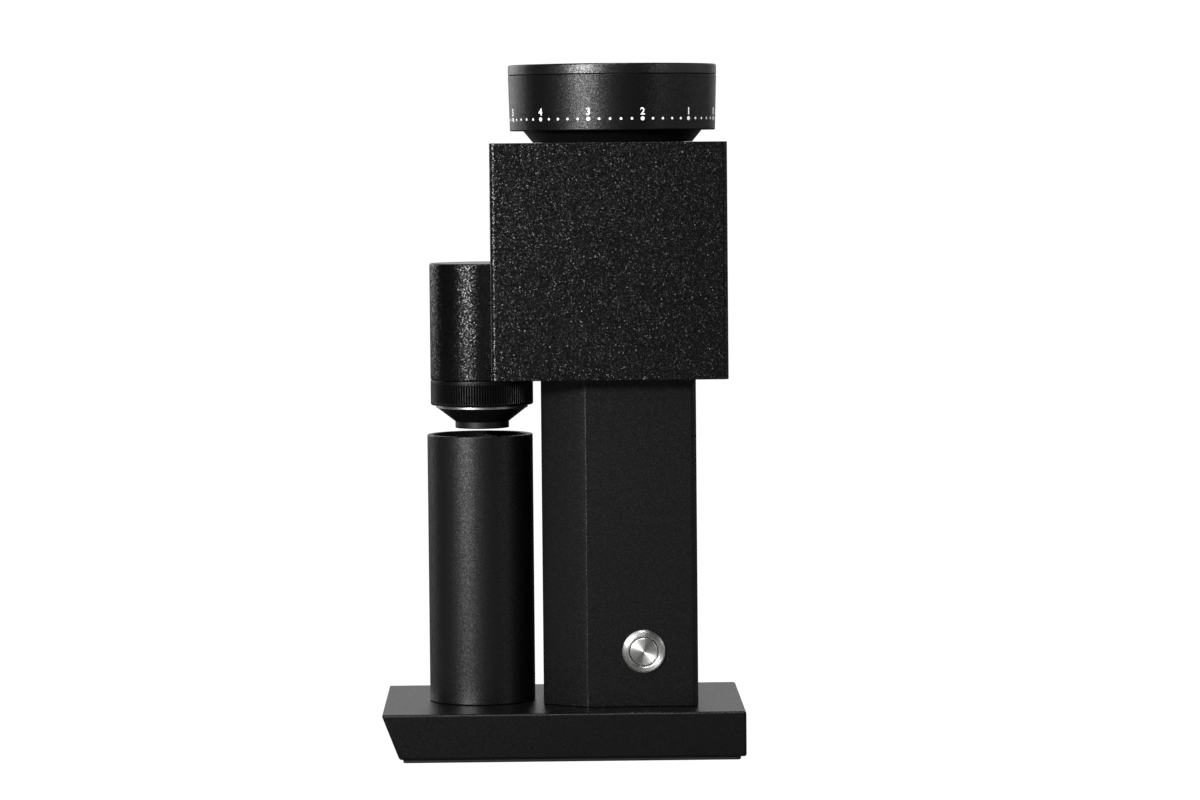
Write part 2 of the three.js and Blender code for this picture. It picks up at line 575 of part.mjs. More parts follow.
const topOfHead = groupAt(GRIND_X, 0, 0, [
  piece("neck_cone", neckCone(), FINISHES.anodisedBlack),
  piece("dial", dial(), FINISHES.anodisedBlack),
  piece("dial_retaining_ring", tube(27.4, 36.6, 303.2, HUB.bottom - 0.1, SMOOTH), FINISHES.steel),
  piece("hopper_funnel", hopperFunnel(), FINISHES.satinBlack),
  piece("lid", lid(), FINISHES.anodisedBlack),
]);
const ball = solid(new THREE.SphereGeometry(DETENT.ballR, TINY, 8));
topOfHead.add(
  groupAt(-DETENT.radius, 0, 0, [
    piece("detent_spring", coil(1.4, 0.3, DETENT.low + 0.2, NECK.top - 3.9, 4), FINISHES.steel),
    piece("detent_ball", moved(ball, 0, 0, NECK.top - DETENT.ballR + 0.1), FINISHES.steel),
  ]),
);

// ---- outlet tube and cup ----
const CAP_LOW = CHUTE.top - 3.3;

function chuteHousing() {
  const { r, wall, shoulder } = CHUTE;
  const [innerR, spigotR, spigotBoreR, bottom] = [r - wall, 24.9, 22.3, RING.bottom + 3.7];
  const spigot = [[spigotBoreR, bottom], [spigotR, bottom], [spigotR, shoulder], [r, shoulder]];
  const bore = [[r, CAP_LOW], [innerR, CAP_LOW], [innerR, shoulder + 4], [spigotBoreR, shoulder]];
  const body = turned([...spigot, ...bore]);
  const window = box([5, 30], [-PORT.halfWidth - 3.4, PORT.halfWidth + 3.4],
    [PORT.low - 3.9, PORT.high + 3.9]);
  return body.subtract(window);
}

function chuteCap() {
  const { r, wall, top } = CHUTE;
  const [plugR, plugLow, low] = [r - wall - FIT, 246, CAP_LOW + 0.2];
  const plug = [[0, plugLow], [plugR, plugLow], [plugR, low], [r, low]];
  return turned([...plug, [r, top - 0.8], [r - 0.8, top], [0, top]]);
}

// A hand-turned ring with coarse flats for grip, and a lip that carries the outlet.
function knurledRing() {
  const { bottom, top, gripDepth, flats } = RING;
  const [edgeR, lipR, boreR, lip] = [CHUTE.r - gripDepth, 24.1, 25.3, bottom + 1.3];
  const outside = [[lipR, bottom], [edgeR, bottom], [CHUTE.r, bottom + 1.2], [CHUTE.r, top - 0.5]];
  return turned([...outside, [edgeR, top], [boreR, top], [boreR, lip], [lipR, lip]], flats);
}

function outletFunnel() {
  const { flangeR, spoutR, coneTop, coneBottom, bottom } = OUTLET;
  const [lip, flangeTop, rimR, innerR, boreR] = [RING.bottom + 1.5, RING.bottom + 3.4, 25, 22, spoutR - 1.6];
  const spout = [[boreR, bottom], [spoutR, bottom], [spoutR, coneBottom], [flangeR, coneTop]];
  const flange = [[flangeR, lip], [rimR, lip], [rimR, flangeTop], [innerR, flangeTop]];
  return turned([...spout, ...flange, [innerR, coneTop + 0.4], [boreR, coneBottom + 0.3]]);
}

function cup() {
  const { r, wall, floor, top } = CUP;
  const [foot, innerR] = [BASE.top + 0.1, r - wall];
  const outside = [[0, foot], [r - 0.6, foot], [r, foot + 0.6], [r, top - 0.5], [r - 0.5, top]];
  const inside = [[innerR + 0.4, top], [innerR, top - 0.4], [innerR, foot + floor], [0, foot + floor]];
  return turned([...outside, ...inside]);
}

const outlet = groupAt(CHUTE_X, 0, 0, [
  piece("chute_housing", chuteHousing(), FINISHES.anodisedBlack),
  piece("chute_cap", chuteCap(), FINISHES.anodisedBlack),
  piece("knurled_ring", knurledRing(), FINISHES.anodisedBlack),
  piece("outlet_funnel", outletFunnel(), FINISHES.anodisedBlack),
]);
const cupStand = groupAt(CUP_X, 0, 0, [piece("cup", cup(), FINISHES.satinBlack)]);

const grinder = new THREE.Group();
grinder.add(base, column, button, motor, head, grinding, topOfHead, outlet, cupStand);

export default grinder;
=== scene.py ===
# Burr coffee grinder: a cube head on a column, a numbered dial, an outlet tube, a tall cup and a heavy base.
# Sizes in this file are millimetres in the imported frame's own axes, unless a comment says metres. Blender's
# meshes are in metres. The object's front is its outlet end, -X. The camera looks from -Y, the button's side.
import json
import math

import bmesh
import bpy
from mathutils import Matrix, Vector


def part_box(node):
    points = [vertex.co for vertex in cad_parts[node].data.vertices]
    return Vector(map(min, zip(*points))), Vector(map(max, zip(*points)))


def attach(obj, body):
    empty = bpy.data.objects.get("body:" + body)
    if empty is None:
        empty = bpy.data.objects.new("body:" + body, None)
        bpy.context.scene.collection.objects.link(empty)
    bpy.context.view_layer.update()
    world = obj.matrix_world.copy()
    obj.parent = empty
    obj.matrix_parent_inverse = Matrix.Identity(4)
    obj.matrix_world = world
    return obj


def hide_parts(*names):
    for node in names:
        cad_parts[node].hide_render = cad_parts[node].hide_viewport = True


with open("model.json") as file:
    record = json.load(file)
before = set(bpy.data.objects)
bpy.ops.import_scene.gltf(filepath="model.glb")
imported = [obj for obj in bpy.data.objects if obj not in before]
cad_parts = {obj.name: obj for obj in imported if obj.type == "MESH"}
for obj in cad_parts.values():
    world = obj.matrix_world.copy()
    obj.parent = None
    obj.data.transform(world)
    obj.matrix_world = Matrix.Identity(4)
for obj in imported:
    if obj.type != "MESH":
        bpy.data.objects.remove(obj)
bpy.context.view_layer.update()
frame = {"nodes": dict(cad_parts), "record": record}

MM = 0.001
SIDES = 192  # sides of a large turned piece
CORNER_STEPS = 5  # steps in a rounded corner
SHARP = math.radians(32)  # edges that turn by more than this stay crisp


# ---- measuring the frame ----
def span(node):
    """Lowest and highest corner of a CAD node, in millimetres."""
    low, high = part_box(node)
    return low / MM, high / MM


def middle(node):
    low, high = span(node)
    return (low + high) / 2


def corners(node):
    return [vertex.co / MM for vertex in frame["nodes"][node].data.vertices]


def steps(node, centre):
    """Each height of a CAD node's corners, with its least and greatest radius about an upright axis."""
    found = {}
    for corner in corners(node):
        height = round(corner.z, 2)
        reach = (corner.xy - centre.xy).length
        low, high = found.get(height, (reach, reach))
        found[height] = (min(low, reach), max(high, reach))
    return sorted((height, low, high) for height, (low, high) in found.items())


def lowest_wide(node, centre, radius):
    """The lowest height at which a CAD node reaches past a radius, and how far it reaches there."""
    height, _, reach = next(step for step in steps(node, centre) if step[2] > radius)
    return height, reach


GRIND = middle("lid")  # the dial's, burrs' and motor's axis
CHUTE = middle("chute_housing")
CUP = middle("cup")
BUTTON = middle("button_cap")
UPRIGHT = Vector((0, 0, 0))  # the axis that small turned pieces are made about before they are placed


# ---- building meshes ----
def filleted(outline, closed=True):
    """An outline of (across, up) or (across, up, radius) points, with its corners rounded to those radii."""
    made = []
    for i, point in enumerate(outline):
        corner = Vector(point[:2])
        is_end = not closed and i in (0, len(outline) - 1)
        if len(point) < 3 or is_end:
            made.append(corner)
            continue
        before = (Vector(outline[i - 1][:2]) - corner).normalized()
        after = (Vector(outline[(i + 1) % len(outline)][:2]) - corner).normalized()
        half = before.angle(after) / 2
        centre = corner + (before + after).normalized() * (point[2] / math.sin(half))
        start = corner + before * (point[2] / math.tan(half)) - centre
        end = corner + after * (point[2] / math.tan(half)) - centre
        turn = start.angle(end)
        for k in range(CORNER_STEPS + 1):
            share = k / CORNER_STEPS
            arm = start * math.sin((1 - share) * turn) + end * math.sin(share * turn)
            made.append(centre + arm / math.sin(turn))
    return made


def crisp(mesh):
    """Smooth faces with crisp edges, all facing out."""
    bmesh.ops.recalc_face_normals(mesh, faces=mesh.faces)
    for face in mesh.faces:
        face.smooth = True
    for edge in mesh.edges:
        edge.smooth = len(edge.link_faces) == 2 and edge.calc_face_angle(0) < SHARP


def piece(name, mesh, material, body, *nodes):
    """Makes a mesh into a named piece with its finish, on its body and in place of its CAD nodes."""
    crisp(mesh)
    data = bpy.data.meshes.new(name)
    mesh.to_mesh(data)
    mesh.free()
    made = bpy.data.objects.new(name, data)
    bpy.context.scene.collection.objects.link(made)
    made.data.materials.append(material)
    flats = made.modifiers.new("flats", "WEIGHTED_NORMAL")  # large faces stay flat beside rounded edges
    flats.weight, flats.keep_sharp = 100, True
    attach(made, body)
    if nodes:
        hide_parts(*nodes)


def skinned(loops, closed=False):
    """A mesh through equal loops of points, in millimetres. A loop of one point closes an end."""
    mesh = bmesh.new()
    rows = [[mesh.verts.new(Vector(point) * MM) for point in loop] for loop in loops]
    pairs = list(zip(rows, rows[1:])) + ([(rows[-1], rows[0])] if closed else [])
    for low, high in pairs:
        count = max(len(low), len(high))
        for i in range(count):
            j = (i + 1) % count
            ring = [low[i % len(low)], low[j % len(low)], high[j % len(high)], high[i % len(high)]]
            face = list(dict.fromkeys(ring))
            if len(face) > 2:
                mesh.faces.new(face)
    if not closed:
        for row in (rows[0], rows[-1]):
            if len(row) > 2:
                mesh.faces.new(row)
    return mesh


def circle(radius, height, centre, sides=SIDES):
    if radius < 1e-6:
        return [(centre.x, centre.y, height)]
    turns = [2 * math.pi * i / sides for i in range(sides)]
    return [(centre.x + radius * math.cos(a), centre.y + radius * math.sin(a), height) for a in turns]


def turned(outline, centre, sides=SIDES):
    """An outline of (radius, height) points turned about an upright axis. It starts and ends on the axis,
    or closes on itself."""
    solid = outline[0][0] < 1e-6
    points = filleted(outline, closed=not solid)
    return skinned([circle(r, z, centre, sides) for r, z in points], closed=not solid)


def rounded_rectangle(low, high, radius, inset=0):
    """Plan points of a rectangle with round corners, drawn in by an inset."""
    points = []
    radius = max(radius - inset, 0.2)
    x0, y0, x1, y1 = low.x + inset, low.y + inset, high.x - inset, high.y - inset
    places = [(x1 - radius, y1 - radius), (x0 + radius, y1 - radius), (x0 + radius, y0 + radius),
              (x1 - radius, y0 + radius)]
    for quarter, (x, y) in enumerate(places):
        for k in range(CORNER_STEPS + 1):
            angle = (quarter + k / CORNER_STEPS) * math.pi / 2
            points.append((x + radius * math.cos(angle), y + radius * math.sin(angle)))
    return points


def walled(plan, outline, closed=True):
    """An outline of (inset, height) points carried round a plan that takes an inset."""
    loops = [[(x, y, z) for x, y in plan(inset)] for inset, z in filleted(outline, closed)]
    return skinned(loops, closed=closed)


def cut(mesh, *tools):
    """Takes the tools' shapes out of a mesh."""
    def loose(name, shape):
        data = bpy.data.meshes.new(name)
        bmesh.ops.recalc_face_normals(shape, faces=shape.faces)
        shape.to_mesh(data)
        shape.free()
        made = bpy.data.objects.new(name, data)
        bpy.context.scene.collection.objects.link(made)
        return made

    blank = loose("blank", mesh)
    cutters = [loose("cutter", tool) for tool in tools]
    for cutter in cutters:
        change = blank.modifiers.new("cut", "BOOLEAN")
        change.operation = "DIFFERENCE"
        change.solver = "EXACT"
        change.object = cutter
    result = bmesh.new()
    result.from_object(blank, bpy.context.evaluated_depsgraph_get())
    for spare in [blank, *cutters]:
        bpy.data.objects.remove(spare)
    return result


def block(low, high, edge=0.0):
    """A box between two corners, with its edges rounded."""
    mesh = bmesh.new()
    bmesh.ops.create_cube(mesh, size=1)
    for vertex in mesh.verts:
        for axis in range(3):
            vertex.co[axis] = (high[axis] if vertex.co[axis] > 0 else low[axis]) * MM
    if edge:
        bmesh.ops.bevel(mesh, geom=mesh.edges[:], offset=edge * MM, segments=3, profile=0.5, affect="EDGES")
    return mesh


def facing_minus_y(mesh, centre):
    """Turns a mesh made about an upright axis so that its top faces -Y, with its zero at a centre."""
    turn = Matrix.Translation(centre * MM) @ Matrix.Rotation(math.pi / 2, 4, "X")
    bmesh.ops.transform(mesh, matrix=turn, verts=mesh.verts)
    return mesh


# ---- materials ----
NOISE_LOW, NOISE_HIGH = 0.3, 0.7  # noise mostly keeps between these


def scaled(colour, factor):
    return tuple(value * factor for value in colour)


def blank_material(name, slot, colour, roughness, metallic=0.0, **sockets):
    """A material with its even values set on the shader, and the node helpers that build on it."""
    made = bpy.data.materials.new(name)
    made.use_nodes = True
    made["slot"] = slot
    made.diffuse_color = (*colour, 1)
    shader = made.node_tree.nodes["Principled BSDF"]
    shader.inputs["Base Color"].default_value = (*colour, 1)
    shader.inputs["Roughness"].default_value = roughness
    shader.inputs["Metallic"].default_value = metallic
    for socket, value in sockets.items():
        shader.inputs[socket.replace("_", " ")].default_value = value
    return made, made.node_tree.nodes, made.node_tree.links, shader


def add(nodes, kind, **settings):
    """Adds a shader node. Settings with a capital are its sockets' values, and the others its properties."""
    node = nodes.new("ShaderNode" + kind)
    for name, value in settings.items():
        if name[0].isupper():
            node.inputs[name.replace("_", " ")].default_value = value
        else:
            setattr(node, name, value)
    return node


def place(nodes):
    return add(nodes, "TexCoord").outputs["Object"]


def vector_math(nodes, links, operation, *inputs, **settings):
    """The result of a vector operation on inputs that are sockets or fixed vectors."""
    node = add(nodes, "VectorMath", operation=operation, **settings)
    for socket, value in zip(node.inputs, inputs):
        if isinstance(value, bpy.types.NodeSocket):
            links.new(value, socket)
        else:
            socket.default_value = value
    return node.outputs["Value" if operation in ("LENGTH", "DOT_PRODUCT") else "Vector"]


def grain(nodes, links, size, detail=2.0):
    """Noise whose lumps are about size millimetres across."""
    noise = add(nodes, "TexNoise", Scale=1 / (size * MM), Detail=detail, Roughness=0.55)
    links.new(place(nodes), noise.inputs["Vector"])
    return noise.outputs["Fac"]


def spread(nodes, links, value, low, high, out_low, out_high):
    """Maps a value's range low..high onto out_low..out_high, held at the ends."""
    change = add(nodes, "MapRange", From_Min=low, From_Max=high, To_Min=out_low, To_Max=out_high)
    links.new(value, change.inputs["Value"])
    return change.outputs["Result"]


def tint(nodes, links, value, dark, light):
    """Mixes two colours by a value from 0 to 1."""
    ramp = add(nodes, "ValToRGB")
    ramp.color_ramp.elements[0].color = (*dark, 1)
    ramp.color_ramp.elements[1].color = (*light, 1)
    links.new(value, ramp.inputs["Fac"])
    return ramp.outputs["Color"]


def colour_by(nodes, links, shader, value, dark, light):
    links.new(tint(nodes, links, value, dark, light), shader.inputs["Base Color"])


def roughen_by(nodes, links, shader, value, low, high):
    """Takes the roughness from low to high as a noise value rises."""
    links.new(spread(nodes, links, value, NOISE_LOW, NOISE_HIGH, low, high), shader.inputs["Roughness"])


def bump_by(nodes, links, shader, value, depth):
    """Raises the surface by a value from 0 to 1, up to a depth in millimetres."""
    step = add(nodes, "Bump", Strength=1.0, Distance=depth * MM)
    links.new(value, step.inputs["Height"])
    links.new(step.outputs["Normal"], shader.inputs["Normal"])


def grainy(name, slot, shade, roughness, size, tilt, gloss):
    """A black coat of grains size millimetres across. Each is a small facet that leans its own way, by up
    to tilt, so the grain sparkles where light falls on it."""
    grey = (shade,) * 3
    made, nodes, links, shader = blank_material(name, slot, grey, roughness, Specular_IOR_Level=gloss)
    cells = add(nodes, "TexVoronoi", Scale=1 / (size * MM))
    links.new(place(nodes), cells.inputs["Vector"])
    lean = vector_math(nodes, links, "SUBTRACT", cells.outputs["Color"], (0.5, 0.5, 0.5))
    facet = vector_math(nodes, links, "SCALE", lean, Scale=2 * tilt)
    facing = vector_math(nodes, links, "ADD", add(nodes, "NewGeometry").outputs["Normal"], facet)
    links.new(vector_math(nodes, links, "NORMALIZE", facing), shader.inputs["Normal"])
    fine = grain(nodes, links, size)
    colour_by(nodes, links, shader, fine, scaled(grey, 0.6), scaled(grey, 1.5))
    roughen_by(nodes, links, shader, fine, roughness - 0.04, roughness + 0.04)
    return made


def anodised(name, slot, shade, roughness, lump=0.35, depth=0.012):
    """Blasted and black-anodised aluminium: a dense fine grain under a satin gloss."""
    grey = (shade,) * 3
    made, nodes, links, shader = blank_material(name, slot, grey, roughness, IOR=1.5)
    fine = grain(nodes, links, lump)
    broad = grain(nodes, links, 30, detail=1.0)
    colour_by(nodes, links, shader, fine, scaled(grey, 0.75), scaled(grey, 1.3))
    roughen_by(nodes, links, shader, broad, roughness - 0.03, roughness + 0.03)
    bump_by(nodes, links, shader, fine, depth)
    return made


def metal(name, slot, colour, roughness, lump=0.5, depth=0.004):
    """Bare metal with a fine grain and slight staining."""
    made, nodes, links, shader = blank_material(name, slot, colour, roughness, metallic=1.0)
    fine = grain(nodes, links, lump)
    broad = grain(nodes, links, 8)
    colour_by(nodes, links, shader, broad, scaled(colour, 0.85), colour)
    roughen_by(nodes, links, shader, fine, roughness - 0.05, roughness + 0.07)
    bump_by(nodes, links, shader, fine, depth)
    return made


def spun(name, slot, colour, roughness, centre, pitch=0.22, depth=0.0006):
    """Metal faced on a lathe about an axis along Y: fine rings, and the fan of light that they make."""
    made, nodes, links, shader = blank_material(name, slot, colour, roughness, metallic=1.0, Anisotropic=0.85)
    away = vector_math(nodes, links, "SUBTRACT", place(nodes), centre * MM)
    flat = vector_math(nodes, links, "MULTIPLY", away, (1, 0, 1))
    rings = add(nodes, "TexNoise", noise_dimensions="1D", Scale=1 / (pitch * MM), Detail=2.0)
    links.new(vector_math(nodes, links, "LENGTH", flat), rings.inputs["W"])
    links.new(flat, shader.inputs["Tangent"])
    colour_by(nodes, links, shader, rings.outputs["Fac"], scaled(colour, 0.9), colour)
    roughen_by(nodes, links, shader, rings.outputs["Fac"], roughness - 0.04, roughness + 0.04)
    bump_by(nodes, links, shader, rings.outputs["Fac"], depth)
    return made


def moulded(name, slot, colour, roughness, lump=0.4, depth=0.02):
    """Moulded plastic or rubber with a fine spark-eroded texture."""
    made, nodes, links, shader = blank_material(name, slot, colour, roughness)
    fine = grain(nodes, links, lump)
    colour_by(nodes, links, shader, fine, scaled(colour, 0.8), scaled(colour, 1.25))
    roughen_by(nodes, links, shader, fine, roughness + 0.05, roughness - 0.05)
    bump_by(nodes, links, shader, fine, depth)
    return made


HEAD_COAT = grainy("head_powder_coat", "powder_black", 0.002, 0.26, 0.44, 0.18, gloss=0.4)
COLUMN_COAT = grainy("column_powder_coat", "powder_black", 0.003, 0.33, 0.42, 0.07, gloss=0.44)
BASE_COAT = grainy("base_powder_coat", "satin_black", 0.003, 0.33, 0.45, 0.06, gloss=0.36)
TUBE_FINISH = grainy("tube_powder_coat", "anodised_black", 0.002, 0.22, 0.45, 0.11, gloss=0.36)
RING_FINISH = grainy("ring_coat", "anodised_black", 0.002, 0.35, 0.45, 0.07, gloss=0.3)
DIAL_FINISH = grainy("dial_coat", "anodised_black", 0.003, 0.32, 0.4, 0.06, gloss=0.52)
LID_FINISH = grainy("lid_coat", "anodised_black", 0.003, 0.32, 0.4, 0.06, gloss=0.85)
CUP_FINISH = grainy("cup_coat", "anodised_black", 0.003, 0.35, 0.4, 0.06, gloss=0.62)
NECK_FINISH = anodised("neck_anodising", "anodised_black", 0.004, 0.45)
FUNNEL_FINISH = moulded("funnel_finish", "satin_black", (0.012, 0.012, 0.012), 0.4)
GLOWING_PRINT = moulded("white_print_painted_glow", "anodised_black", (0.9, 0.9, 0.89), 0.5, lump=0.15, depth=0.004)
GLOWING_PRINT_SHADER = GLOWING_PRINT.node_tree.nodes["Principled BSDF"]
# The white print is its real colour, but it also gets a painted glow: a faint emission that makes the numbers
# and dots brighter than the light on them.
GLOWING_PRINT_SHADER.inputs["Emission Color"].default_value = (1, 1, 1, 1)
GLOWING_PRINT_SHADER.inputs["Emission Strength"].default_value = 0.45
SPUN_STEEL = spun("spun_steel", "button_steel", (0.92, 0.915, 0.90), 0.42, BUTTON)
POLISHED = metal("polished_steel", "tool_steel", (0.80, 0.80, 0.79), 0.32)
STEEL = metal("ground_steel", "tool_steel", (0.62, 0.62, 0.62), 0.28)
ZINC = metal("dark_zinc", "zinc_steel", (0.27, 0.27, 0.28), 0.42)
ALUMINIUM = metal("machined_aluminium", "cast_aluminium", (0.62, 0.63, 0.64), 0.38)
RUBBER = moulded("rubber", "rubber", (0.012, 0.012, 0.012), 0.75, lump=0.6, depth=0.03)
PLASTIC = moulded("inlet_plastic", "plastic", (0.014, 0.014, 0.014), 0.42)
BOARD = moulded("board_mask", "board", (0.02, 0.12, 0.05), 0.35)

SLOT_MATERIALS = {
    "powder_black": HEAD_COAT, "satin_black": BASE_COAT, "anodised_black": NECK_FINISH,
    "button_steel": POLISHED, "tool_steel": STEEL, "zinc_steel": ZINC, "cast_aluminium": ALUMINIUM,
    "rubber": RUBBER, "plastic": PLASTIC, "board": BOARD,
}


def finish_nodes():
    """Every CAD node gets its slot's finish; the pieces below take the place of those that show most."""
    slots = {row["node"]: row["material_slot"] for row in frame["record"]["subparts"]}
    for name, node in frame["nodes"].items():
        node.data.materials.clear()
        node.data.materials.append(SLOT_MATERIALS[slots[name]])


# ---- base ----
def make_base():
    """A slab whose front end slants in to a shorter underside."""
    edge = 1.3
    low, high = span("base_housing")
    floor_x = min(corner.x for corner in corners("base_housing") if corner.z < low.z + 0.1)
    mesh = block(low, high)
    for vertex in mesh.verts:
        if vertex.co.z < (low.z + 1) * MM and vertex.co.x < 0:
            vertex.co.x = floor_x * MM
    bmesh.ops.bevel(mesh, geom=mesh.edges[:], offset=edge * MM, segments=5, profile=0.5, affect="EDGES")
    piece("base_slab", mesh, BASE_COAT, "frame", "base_housing")


def make_mat():
    low, high = span("base_mat")

    def plan(inset):
        return rounded_rectangle(low, high, 2, inset)

    mesh = walled(plan, [(0.4, low.z), (0, low.z + 0.4), (0, high.z - 0.3), (0.3, high.z)], closed=False)
    piece("base_rubber_mat", mesh, RUBBER, "frame", "base_mat")


# ---- column ----
def column_plan(inset):
    """The column's outline: square at the back, narrowing through two shallow arcs to a blunt nose."""
    low, high = span("column_shell")
    points = corners("column_shell")
    nose_half = max(p.y for p in points if p.x < low.x + 0.1)
    shoulder = min(p.x for p in points if p.y > high.y - 0.1)
    arc_steps, bulge, edge = 8, 0.25, 0.35
    side, back_radius = high.y - inset, 3.0
    front, shoulder, nose = low.x + inset, shoulder + inset * 0.35, nose_half - inset * 0.55
    along = Vector((shoulder - front, side - nose))
    across = Vector((-along.y, along.x)).normalized()
    arc = []
    for k in range(arc_steps + 1):
        share = edge / along.length + (1 - 2 * edge / along.length) * k / arc_steps
        arc.append(Vector((front, nose)) + along * share + across * bulge * 4 * share * (1 - share))
    back = [(high.x - inset - back_radius + back_radius * math.sin(a),
             side - back_radius + back_radius * math.cos(a))
            for a in [math.pi / 2 * (1 - k / CORNER_STEPS) for k in range(CORNER_STEPS + 1)]]
    half = [*back, (shoulder + edge, side), *[tuple(p) for p in reversed(arc)], (front, nose - edge)]
    return half + [(x, -y) for x, y in reversed(half)]


def make_column():
    """A tube with a pocket in its back for the mains inlet and a hole in its side for the button."""
    low, high = span("column_shell")
    wall, chamfer, pocket_depth, gap, hole_radius = 3.0, 0.3, 1.7, 0.3, 9.6
    outline = [(chamfer, low.z), (0, low.z + chamfer), (0, high.z - chamfer), (chamfer, high.z),
               (wall, high.z), (wall, low.z)]
    flange_low, flange_high = span("mains_inlet")
    pocket = block(Vector((high.x - pocket_depth, flange_low.y - gap, flange_low.z - gap)),
                   Vector((high.x + 1, flange_high.y + gap, flange_high.z + gap)))
    drill = [(0, -wall - 2), (hole_radius, -wall - 2), (hole_radius, 1), (0, 1)]
    hole = facing_minus_y(turned(drill, UPRIGHT, 96), Vector((BUTTON.x, low.y, BUTTON.z)))
    mesh = cut(walled(column_plan, outline), pocket, hole)
    piece("column_tube", mesh, COLUMN_COAT, "frame", "column_shell")


# ---- head ----
def make_head():
    """A square shell with a round recess in its front for the outlet tube."""
    low, high = span("head_shell")
    wall, edge, corner, gap = 4.0, 0.35, 2.5, 0.4

    def plan(inset):
        return rounded_rectangle(low, high, corner, inset)

    outline = [(0, low.z, edge), (0, high.z, edge), (wall, high.z, edge), (wall, low.z, edge)]
    chute_low, chute_high = span("chute_housing")
    reach = (chute_high.x - chute_low.x) / 2 + gap
    top = span("chute_cap")[1].z + 0.6
    recess = turned([(0, low.z - 1), (reach, low.z - 1), (reach, top), (0, top)], CHUTE)
    mesh = cut(walled(plan, outline), recess)
    piece("head_cube", mesh, HEAD_COAT, "frame", "head_shell")


# ---- neck, dial and lid ----
def make_neck():
    levels = steps("neck_cone", GRIND)
    bottom, bore, spigot = levels[0]
    foot = next(z for z, _, reach in levels if reach > spigot + 1)
    foot_radius = next(reach for z, _, reach in levels if z == foot)
    cone_top, cone_radius = lowest_wide("neck_cone", GRIND, foot_radius + 3)
    top = levels[-1][0]
    outline = [(bore, bottom, 0.3), (spigot, bottom, 0.3), (spigot, foot), (foot_radius, foot, 0.2),
               (cone_radius, cone_top, 0.2), (cone_radius, top, 0.3), (bore, top, 0.3)]
    piece("neck", turned(outline, GRIND), NECK_FINISH, "frame", "neck_cone")


DIAL_STEPS = steps("dial", GRIND)
SKIRT_LOW, SKIRT_RADIUS = lowest_wide("dial", GRIND, 50)
SKIRT_TOP, _, SKIRT_TOP_RADIUS = DIAL_STEPS[-1]


def make_dial():
    hub_low, hub_bore, hub_radius = DIAL_STEPS[0]
    web_low, web_high = [z for z, _, _ in DIAL_STEPS if z > SKIRT_LOW][:2]
    wall = 3.1
    inner = SKIRT_RADIUS - wall
    seat = inner + 0.3  # round the lid's spigot
    outline = [(hub_bore, hub_low, 0.3), (hub_radius, hub_low, 0.3), (hub_radius, web_low, 0.3),
               (inner, web_low, 0.5), (inner, SKIRT_LOW, 0.4), (SKIRT_RADIUS, SKIRT_LOW, 0.7),
               (SKIRT_TOP_RADIUS, SKIRT_TOP, 0.35), (seat, SKIRT_TOP, 0.5), (seat, web_high, 0.8),
               (hub_bore, web_high, 0.4)]
    piece("dial_body", turned(outline, GRIND, 256), DIAL_FINISH, "dial", "dial")


def make_lid():
    low, high = span("lid")
    rim, radius = lowest_wide("lid", GRIND, 50)
    spigot = steps("lid", GRIND)[0][2]
    outline = [(0, low.z), (spigot, low.z, 0.5), (spigot, rim, 0.2), (radius, rim, 0.35),
               (radius, high.z, 0.9), (0, high.z)]
    piece("dial_lid", turned(outline, GRIND, 256), LID_FINISH, "lid", "lid")


NUMBERS = 12
DOTS_PER_NUMBER = 5
NEAR_NUMBER = 2  # the number that the camera sees nearest the middle
NEAR_ANGLE = 15.7  # degrees from -Y to its dot, towards +X
DOT_HEIGHT = 5.9  # above the skirt's lower edge
DIGIT_HEIGHT = 3.7
DIGIT_RISE = 2.0  # from the middle of a number's dot to the digits' feet
FONT_SIZE = DIGIT_HEIGHT * 1.37
STROKE = 0.11  # thickens the font's strokes
BIG_DOT, SMALL_DOT = 1.05, 0.65  # radii
INK = 0.03  # the print stands this proud
DEGREES_PER_MM = 180 / (math.pi * 53.4)  # round the skirt, at the print


def on_dial(angle, height, lift):
    """A point on the dial's skirt, by degrees from -Y, height above its lower edge and lift off it."""
    share = height / (SKIRT_TOP - SKIRT_LOW)
    radius = SKIRT_RADIUS + (SKIRT_TOP_RADIUS - SKIRT_RADIUS) * share + lift
    turn = math.radians(angle)
    return Vector((GRIND.x + radius * math.sin(turn), GRIND.y - radius * math.cos(turn), SKIRT_LOW + height))


def print_dot(mesh, angle, radius):
    """A printed dot as a thin round cap on the skirt."""
    sides = 20
    rings = []
    for reach, lift in ((radius, -INK), (radius, INK), (0, INK)):
        turns = [2 * math.pi * k / sides for k in range(sides if reach else 1)]
        rings.append([mesh.verts.new(on_dial(angle + reach * math.cos(t) * DEGREES_PER_MM,
                                             DOT_HEIGHT + reach * math.sin(t), lift) * MM) for t in turns])
    for low, high in zip(rings, rings[1:]):
        for k in range(sides):
            face = [low[k], low[(k + 1) % sides], high[(k + 1) % len(high)], high[k % len(high)]]
            mesh.faces.new(list(dict.fromkeys(face)))
    mesh.faces.new(list(reversed(rings[0])))


def print_number(mesh, angle, number):
    """A printed number, bent round the skirt above its dot."""
    text = bpy.data.curves.new("number", "FONT")
    text.body = str(number)
    text.align_x = "CENTER"
    text.size = FONT_SIZE
    text.offset = STROKE
    text.extrude = INK
    text.resolution_u = 4
    shape = bpy.data.objects.new("number", text)
    bpy.context.scene.collection.objects.link(shape)
    bpy.context.view_layer.update()
    flat = shape.evaluated_get(bpy.context.evaluated_depsgraph_get()).to_mesh()
    foot = DOT_HEIGHT + DIGIT_RISE
    added = [mesh.verts.new(on_dial(angle + v.co.x * DEGREES_PER_MM, foot + v.co.y, v.co.z) * MM)
             for v in flat.vertices]
    for polygon in flat.polygons:
        mesh.faces.new([added[i] for i in polygon.vertices])
    bpy.data.objects.remove(shape)


